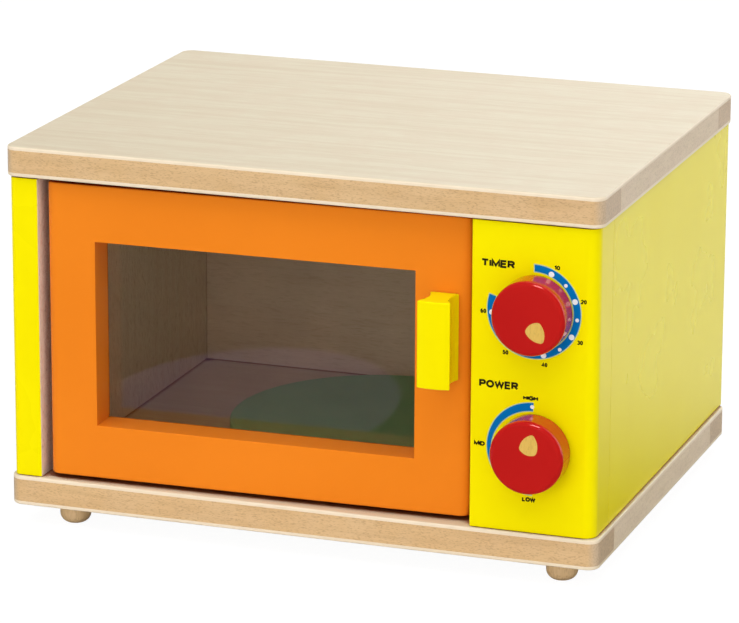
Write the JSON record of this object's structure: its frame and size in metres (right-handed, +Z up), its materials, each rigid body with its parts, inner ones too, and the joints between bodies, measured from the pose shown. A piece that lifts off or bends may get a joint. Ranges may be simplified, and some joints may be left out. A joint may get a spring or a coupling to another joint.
{
  "type": "toy microwave",
  "caption": "Wooden toy microwave oven: a box with a swinging door and smoked window, two turning dial knobs and a turntable on small round feet.",
  "frame": {"origin": "on the ground under the middle of the outer box", "axes": "+X to the right seen from the front, +Y towards the back, +Z up; the door and the knobs face -Y"},
  "size_m": [0.35, 0.29, 0.2235],
  "materials": {
    "birch_veneer": "pale satin birch veneer",
    "beech": "clear satin lacquered beech",
    "board_core": "bare edge of a board core",
    "plain_wood": "clear lacquered plain wood",
    "yellow_paint": "yellow semi-gloss paint on wood",
    "orange_paint": "orange semi-gloss paint on wood",
    "red_paint": "high-gloss red paint on turned wood",
    "green_paint": "green satin paint on wood",
    "smoked_acrylic": "clear smoke-brown acrylic",
    "inlay_wood": "light golden wood inlay, lacquered",
    "felt": "dark pressed felt",
    "steel": "zinc-plated steel"
  },
  "bodies": {
    "case": {"back_panel": "plain_wood", "base_core": "board_core", "base_front_lipping": "beech", "base_lower_veneer": "birch_veneer", "base_rear_lipping": "beech", "base_screw_left_front": "steel", "base_screw_left_rear": "steel", "base_screw_partition_front": "steel", "base_screw_partition_rear": "steel", "base_screw_right_front": "steel", "base_screw_right_rear": "steel", "base_upper_veneer": "birch_veneer", "catch_block": "beech", "control_panel": "yellow_paint", "door_magnet": "steel", "foot_front_left": "beech", "foot_front_right": "beech", "foot_rear_left": "beech", "foot_rear_right": "beech", "hinge_washer": "steel", "left_side_panel": "yellow_paint", "lower_hinge_pin": "steel", "partition_panel": "plain_wood", "power_knob_washer": "felt", "right_side_panel": "yellow_paint", "timer_knob_washer": "felt", "top_core": "board_core", "top_dowel_left_front": "beech", "top_dowel_left_rear": "beech", "top_dowel_right_front": "beech", "top_dowel_right_rear": "beech", "top_front_lipping": "beech", "top_lower_veneer": "birch_veneer", "top_rear_lipping": "beech", "top_upper_veneer": "birch_veneer", "turntable_hub": "beech", "turntable_pin": "beech", "turntable_washer": "felt", "upper_hinge_pin": "steel"},
    "door": {"door_frame": "orange_paint", "window_pane": "smoked_acrylic", "pane_strip_top": "orange_paint", "pane_strip_bottom": "orange_paint", "pane_strip_left": "orange_paint", "pane_strip_right": "orange_paint", "door_handle": "yellow_paint", "handle_screw_upper": "steel", "handle_screw_lower": "steel", "door_striker_disc": "steel"},
    "timer_dial": {"timer_knob": "red_paint", "timer_knob_pointer": "inlay_wood", "timer_knob_axle": "beech", "timer_knob_collar": "beech"},
    "power_dial": {"power_knob": "red_paint", "power_knob_pointer": "inlay_wood", "power_knob_axle": "beech", "power_knob_collar": "beech"},
    "turntable": {"turntable_disc": "green_paint"}
  },
  "joints": [
    {"name": "door_hinge", "type": "hinge", "parent": "case", "child": "door", "pos_m": [-0.141, -0.11455, 0.1185], "axis": [0, 0, -1], "range_deg": [0, 100]},
    {"name": "timer_turn", "type": "hinge", "parent": "case", "child": "timer_dial", "pos_m": [0.1379, -0.12805, 0.1565], "axis": [0, 1, 0], "continuous": true},
    {"name": "power_turn", "type": "hinge", "parent": "case", "child": "power_dial", "pos_m": [0.1379, -0.12805, 0.078], "axis": [0, 1, 0], "continuous": true},
    {"name": "turntable_turn", "type": "hinge", "parent": "case", "child": "turntable", "pos_m": [-0.0025, 0.0196, 0.037], "axis": [0, 0, 1], "continuous": true}
  ]
}
